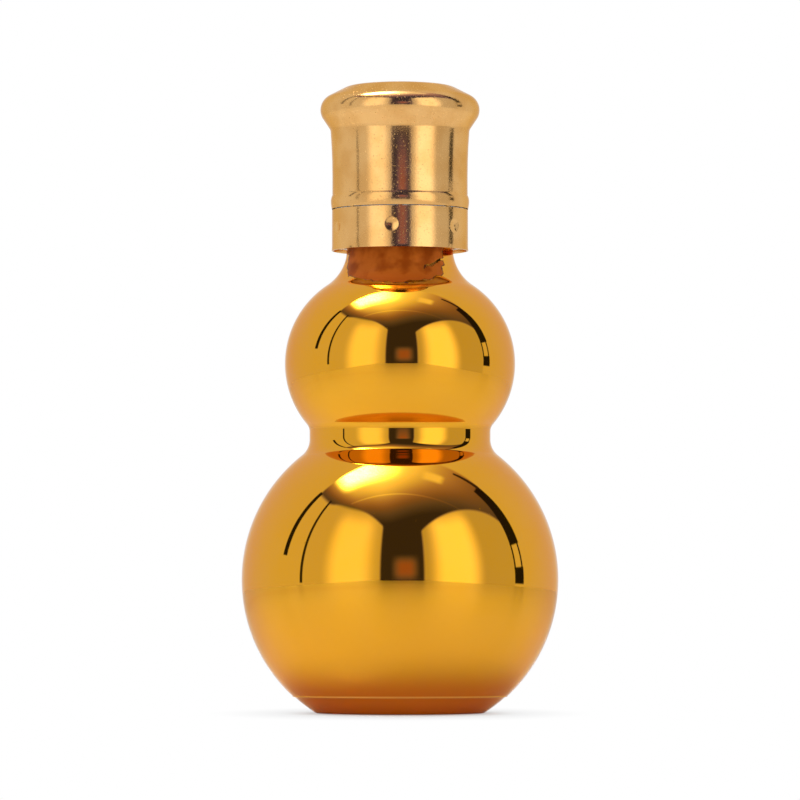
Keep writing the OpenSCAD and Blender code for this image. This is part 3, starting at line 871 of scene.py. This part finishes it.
# Each row: azimuth from and to, elevation low and high, softness, brightness
STUDIO_PANELS = [
    ("left_box", -76, -14.5, -14, 52, 2.5, 0.82),
    ("left_hot", -53, -23, -14, 42, 15, 1.55),
    ("right_box", 17.8, 92, -14, 52, 2.5, 0.70),
    ("right_hot", 27, 59, -14, 42, 15, 1.75),
    ("slot", -14.5, 17.8, -14, 60, 2.5, 0.05),
    ("brow", -95, 102, 48, 100, 4, 0.11),
    ("overhead", -115, 118, 69, 105, 32, 1.0),
]
STUDIO_STANDS = [
    ("slot_glow", -3, 11, 1, 14, 9, 0.40),
    ("left_stand", -77.6, -75.2, -2, 48, 0.8, 0.03),
    ("left_pole", -96.6, -92.4, 12, 48, 0.8, 0.02),
    ("right_edge_low", 92, 101.5, -2, 6, 1.0, 0.02),
    ("right_edge_line", 92, 93.6, 5, 18, 0.8, 0.02),
    ("right_edge_rim", 99.4, 101, 5, 18, 0.8, 0.02),
    ("right_edge_high", 92, 102, 17, 50, 1.0, 0.02),
    ("right_edge_top", 98.5, 102.5, 49, 63, 1.0, 0.05),
]
TINTS = {"slot": (1.0, 0.92, 2.3), "slot_glow": (1.0, 0.45, 0.5)}
print("panels in the studio:", len(STUDIO_PANELS) + len(STUDIO_STANDS))

# %% Ceiling of the studio
# The ceiling is measured in degrees from straight up, to the right and to the back.
# Each edge: the side on which the ceiling lies, as a turn from the right, and where the edge is
CEILING_EDGES = [(0, -43), (35, -44), (148, -49), (-85.4, -7)]
CEILING_SOFT = 1.5
CEILING_LIGHT = 4.0
CEILING_DARK = 0.05
CEILING_BRIGHTEST = -12
CEILING_ROUND = 8
CEILING_FALL = 20
CEILING_FALL_FRONT = 25
CEILING_LEFT_FALL = (-44, -26, 0.12)
CEILING_TINT = (1.0, 0.70, 1.1)
TINT_FROM_SLOT = (0.07, 0.3)
TINT_TO_WHITE = (0.3, 1.1)
CEILING_LAMP = 28
LAMP_LEFT = (-36, -27)
LAMP_RIGHT = (-20, 7)
LAMP_FRONT = (-18, -3)
CEILING_DISC = ("ceiling_disc", 12.5, 23, -10.5, -3, 4, 1.25)
CEILING_RAIL = ("ceiling_rail", -33, 44, -26.6, -25.4, 0.8, 1.4)
print("edges of the ceiling:", len(CEILING_EDGES))


# %% Measure directions
def direction_angles(tree):
    """The ray's azimuth from the viewer and elevation, and its angles from straight up, in degrees."""
    apart = node(tree, "ShaderNodeSeparateXYZ")
    feed(tree, apart.inputs[0], node(tree, "ShaderNodeTexCoord").outputs["Generated"])
    x, y, z = apart.outputs
    azimuth = math_node(tree, "ARCTAN2", x, math_node(tree, "MULTIPLY", y, -1.0))
    angles = (azimuth, math_node(tree, "ARCSINE", z),
              math_node(tree, "ARCTAN2", x, z), math_node(tree, "ARCTAN2", y, z))
    return [math_node(tree, "DEGREES", angle) for angle in angles]


def panel_mask(tree, row, across, up):
    """Mask of one row of a list of panels."""
    panel = node(tree, "ShaderNodeGroup", node_tree=panel_group, label=row[0])
    for label, value in zip(("Across", "Up", *PANEL_NUMBERS), (across, up, *row[1:6])):
        feed(tree, panel.inputs[label], value)
    return panel.outputs["Mask"]


def mix_number(tree, share, first, second):
    """Blend two numbers by a mask."""
    return mix(tree, "FLOAT", share, first, second)


def along(tree, right, back, degrees):
    """How far a direction on the ceiling lies to one side, given as a turn from the right."""
    turn = math.radians(degrees)
    return math_node(tree, "ADD", math_node(tree, "MULTIPLY", right, math.cos(turn)),
                     math_node(tree, "MULTIPLY", back, math.sin(turn)))


# %% Light on the ceiling
def ceiling_mask(tree, right, back):
    """1 where the ceiling is, 0 past its edges."""
    mask = 1.0
    for degrees, edge in CEILING_EDGES:
        inside = ramp(tree, along(tree, right, back, degrees), edge - CEILING_SOFT, edge + CEILING_SOFT)
        mask = math_node(tree, "MULTIPLY", inside, mask)
    return mask


def ceiling_light(tree, right, back):
    """Brightest beside the lamp, fading to the sides, and to the front slowly and then fast."""
    beside = math_node(tree, "SUBTRACT", right, CEILING_BRIGHTEST)
    beside = math_node(tree, "ADD", math_node(tree, "MULTIPLY", beside, beside), CEILING_ROUND ** 2)
    beside = math_node(tree, "DIVIDE", math_node(tree, "SQRT", beside), CEILING_FALL)
    front = math_node(tree, "DIVIDE", math_node(tree, "MINIMUM", back, 0.0), CEILING_FALL_FRONT)
    front = math_node(tree, "MULTIPLY", front, front)
    fall = math_node(tree, "MULTIPLY", math_node(tree, "ADD", beside, front), -1)
    light = math_node(tree, "MULTIPLY", math_node(tree, "EXPONENT", fall), CEILING_LIGHT)
    light = math_node(tree, "MULTIPLY", light, ramp(tree, right, *CEILING_LEFT_FALL, 1.0))
    light = mix_number(tree, panel_mask(tree, CEILING_DISC, right, back), light, CEILING_DISC[-1])
    rail = ramp(tree, panel_mask(tree, CEILING_RAIL, right, back), 0.0, 1.0, 1.0, CEILING_RAIL[-1])
    return math_node(tree, "MAXIMUM", math_node(tree, "MULTIPLY", light, rail), CEILING_DARK)


def lamp_mask(tree, right, back):
    """1 on the lamp in the ceiling, with a long soft edge to the right and to the front."""
    across = math_node(tree, "MULTIPLY", ramp(tree, right, *LAMP_LEFT),
                       ramp(tree, right, *LAMP_RIGHT, 1.0, 0.0))
    lamp = math_node(tree, "MULTIPLY", across, ramp(tree, back, *LAMP_FRONT))
    return math_node(tree, "POWER", lamp, 2.0)


# %% Paint the studio
def lay_panels(tree, rows, azimuth, elevation, light, tint):
    """Lay the panels of a list over the light and its tint, one after another."""
    for row in rows:
        mask = panel_mask(tree, row, azimuth, elevation)
        light = mix_number(tree, mask, light, row[-1])
        if row[0] in TINTS:
            tint = mix_colour(tree, mask, tint, TINTS[row[0]])
    return light, tint


def paint_studio():
    """Build the world: panels and a ceiling for mirrors and for light, plain white for the camera."""
    world = bpy.data.worlds.new("studio")
    world.use_nodes = True
    tree = world.node_tree
    path = node(tree, "ShaderNodeLightPath")
    azimuth, elevation, right, back = direction_angles(tree)
    light, tint = lay_panels(tree, STUDIO_PANELS, azimuth, elevation, WALL_LIGHT, WHITE)
    above = math_node(tree, "MULTIPLY", ceiling_mask(tree, right, back), path.outputs["Is Glossy Ray"])
    glow = mix_number(tree, lamp_mask(tree, right, back), ceiling_light(tree, right, back), CEILING_LAMP)
    shade = mix_colour(tree, ramp(tree, glow, *TINT_FROM_SLOT), TINTS["slot"], CEILING_TINT)
    shade = mix_colour(tree, ramp(tree, glow, *TINT_TO_WHITE), shade, WHITE)
    light, tint = mix_number(tree, above, light, glow), mix_colour(tree, above, tint, shade)
    light, tint = lay_panels(tree, STUDIO_STANDS, azimuth, elevation, light, tint)
    seen = math_node(tree, "MAXIMUM", path.outputs["Is Camera Ray"], path.outputs["Is Transmission Ray"])
    background = tree.nodes["Background"]
    feed(tree, background.inputs["Strength"], mix_number(tree, seen, light, 1.0))
    feed(tree, background.inputs["Color"], mix_colour(tree, seen, tint, WHITE))
    bpy.context.scene.world = world
    return tree


print("nodes in the studio:", len(paint_studio().nodes))

# %% [markdown]
# ## The table
#
# The bottle stands on a plain white table. Near the bottle the table is a real matt surface that takes
# its shadow, and for the camera a painted shadow tones its white down a little round the foot, in a
# soft patch that is longer from front to back than it is wide. Further out the table turns into plain
# white, for the camera and for mirrors alike, so its edge is never seen as a line.

# %% Lay the table
TABLE_SIDE = 0.45
TABLE_FRONT = 1.2
SHADOW_NEAR = 0.10
SHADOW_FAR = 0.30
SEEN_WIDTH = 0.042
SEEN_DEPTH = 0.10
TABLE_WHITE = 0.88
SEEN_FADE = (0.15, 0.6)
SEEN_SHADOW_SPAN = (0.25, 0.95)
NEAR_SHADE = 0.80
TABLE_ROUGH = 0.6
TABLE_SHEEN = 0.3
TABLE_SHEEN_IOR = 1.28


def distance_from_foot(tree, point, stretch):
    """How far a point of the table is from the bottle, with each axis stretched."""
    drawn_out = node(tree, "ShaderNodeVectorMath", operation="MULTIPLY")
    feed(tree, drawn_out.inputs[0], point)
    drawn_out.inputs[1].default_value = stretch
    length = node(tree, "ShaderNodeVectorMath", operation="LENGTH")
    feed(tree, length.inputs[0], drawn_out.outputs["Vector"])
    return length.outputs["Value"]


def mix_shader(tree, share, first, second):
    """Blend two surfaces by a mask."""
    made = node(tree, "ShaderNodeMixShader")
    for socket, value in zip(made.inputs, (share, first, second)):
        feed(tree, socket, value)
    return made.outputs["Shader"]


def table_finish():
    """Matt white that takes the shadow, with a painted shadow round the foot that only the camera
    sees, fading to plain white away from the bottle.
    """
    material, tree, shader, point = new_material("table_white")
    path = node(tree, "ShaderNodeLightPath").outputs
    away = distance_from_foot(tree, point, (1, 1, 1))
    beside = distance_from_foot(tree, point, (1 / SEEN_WIDTH, 1 / SEEN_DEPTH, 0))
    fade = mix_number(tree, path["Is Camera Ray"], ramp(tree, away, SHADOW_NEAR, SHADOW_FAR),
                      ramp(tree, beside, *SEEN_FADE))
    # Painted shadow: for the camera, the table's white is darkened in a long soft patch round the foot.
    painted_shadow = mix_number(tree, path["Is Camera Ray"], 1.0, ramp(tree, beside, *SEEN_SHADOW_SPAN, NEAR_SHADE, 1.0))
    feed(tree, shader.inputs["Base Color"], math_node(tree, "MULTIPLY", painted_shadow, TABLE_WHITE))
    shader.inputs["Roughness"].default_value = TABLE_ROUGH
    seen = math_node(tree, "MAXIMUM", path["Is Camera Ray"], path["Is Glossy Ray"])
    seen = math_node(tree, "MAXIMUM", seen, path["Is Transmission Ray"])
    white = node(tree, "ShaderNodeEmission")
    feed(tree, white.inputs["Strength"], painted_shadow)
    surface = mix_shader(tree, math_node(tree, "MULTIPLY", fade, seen), shader.outputs["BSDF"],
                         white.outputs["Emission"])
    sheen = node(tree, "ShaderNodeBsdfGlossy")
    sheen.inputs["Roughness"].default_value = TABLE_SHEEN
    facing = node(tree, "ShaderNodeFresnel")
    facing.inputs["IOR"].default_value = TABLE_SHEEN_IOR
    share = math_node(tree, "MULTIPLY", facing.outputs["Fac"], path["Is Glossy Ray"])
    surface = mix_shader(tree, share, surface, sheen.outputs["BSDF"])
    feed(tree, tree.nodes["Material Output"].inputs["Surface"], surface)
    return material


deselect()
bpy.ops.mesh.primitive_plane_add(size=2)
table = bpy.context.object
table.name = "table"
table.scale = (TABLE_SIDE, TABLE_FRONT, 1)
bpy.ops.object.transform_apply(location=False, rotation=False, scale=True)
dress(table, table_finish())

# %% [markdown]
# ## Lamp and camera
#
# One soft lamp overhead deepens the shadow round the foot. The camera stands about a metre away with a
# long lens, only just above the table, and looks up a little at the middle of the bottle. That low
# view is why the rings of the cap bend upwards in the picture.

# %% Lamp
LAMP_PLACE = Vector((-0.05, -0.12, 0.9))
LAMP_SIZE = 0.6
LAMP_WATTS = 4.0

lamp_data = bpy.data.lights.new("soft_lamp", "AREA")
lamp_data.shape = "DISK"
lamp_data.size = LAMP_SIZE
lamp_data.energy = LAMP_WATTS
lamp = bpy.data.objects.new("soft_lamp", lamp_data)
bpy.context.scene.collection.objects.link(lamp)
lamp.location = LAMP_PLACE
lamp.rotation_euler = (-LAMP_PLACE).to_track_quat("-Z", "Y").to_euler()
lamp.visible_glossy = False
print("lamp in watts:", LAMP_WATTS)

# %% Camera
CAMERA_DISTANCE = 1.08
CAMERA_HEIGHT = 18 * mm
CAMERA_NEAR = 0.01
CAMERA_FAR = 20
FRAME_WIDTH = 160 * mm
AIM_HEIGHT = 62.6 * mm

camera_data = bpy.data.cameras.new("camera")
camera = bpy.data.objects.new("camera", camera_data)
bpy.context.scene.collection.objects.link(camera)
camera.location = (0, -CAMERA_DISTANCE, CAMERA_HEIGHT)
aim = Vector((0, 0, AIM_HEIGHT)) - camera.location
camera.rotation_euler = aim.to_track_quat("-Z", "Y").to_euler()
camera_data.lens = camera_data.sensor_width * CAMERA_DISTANCE / FRAME_WIDTH
camera_data.clip_start = CAMERA_NEAR
camera_data.clip_end = CAMERA_FAR
bpy.context.scene.camera = camera
bpy.context.scene.view_settings.view_transform = "Standard"
print("lens in mm:", round(camera_data.lens, 1))
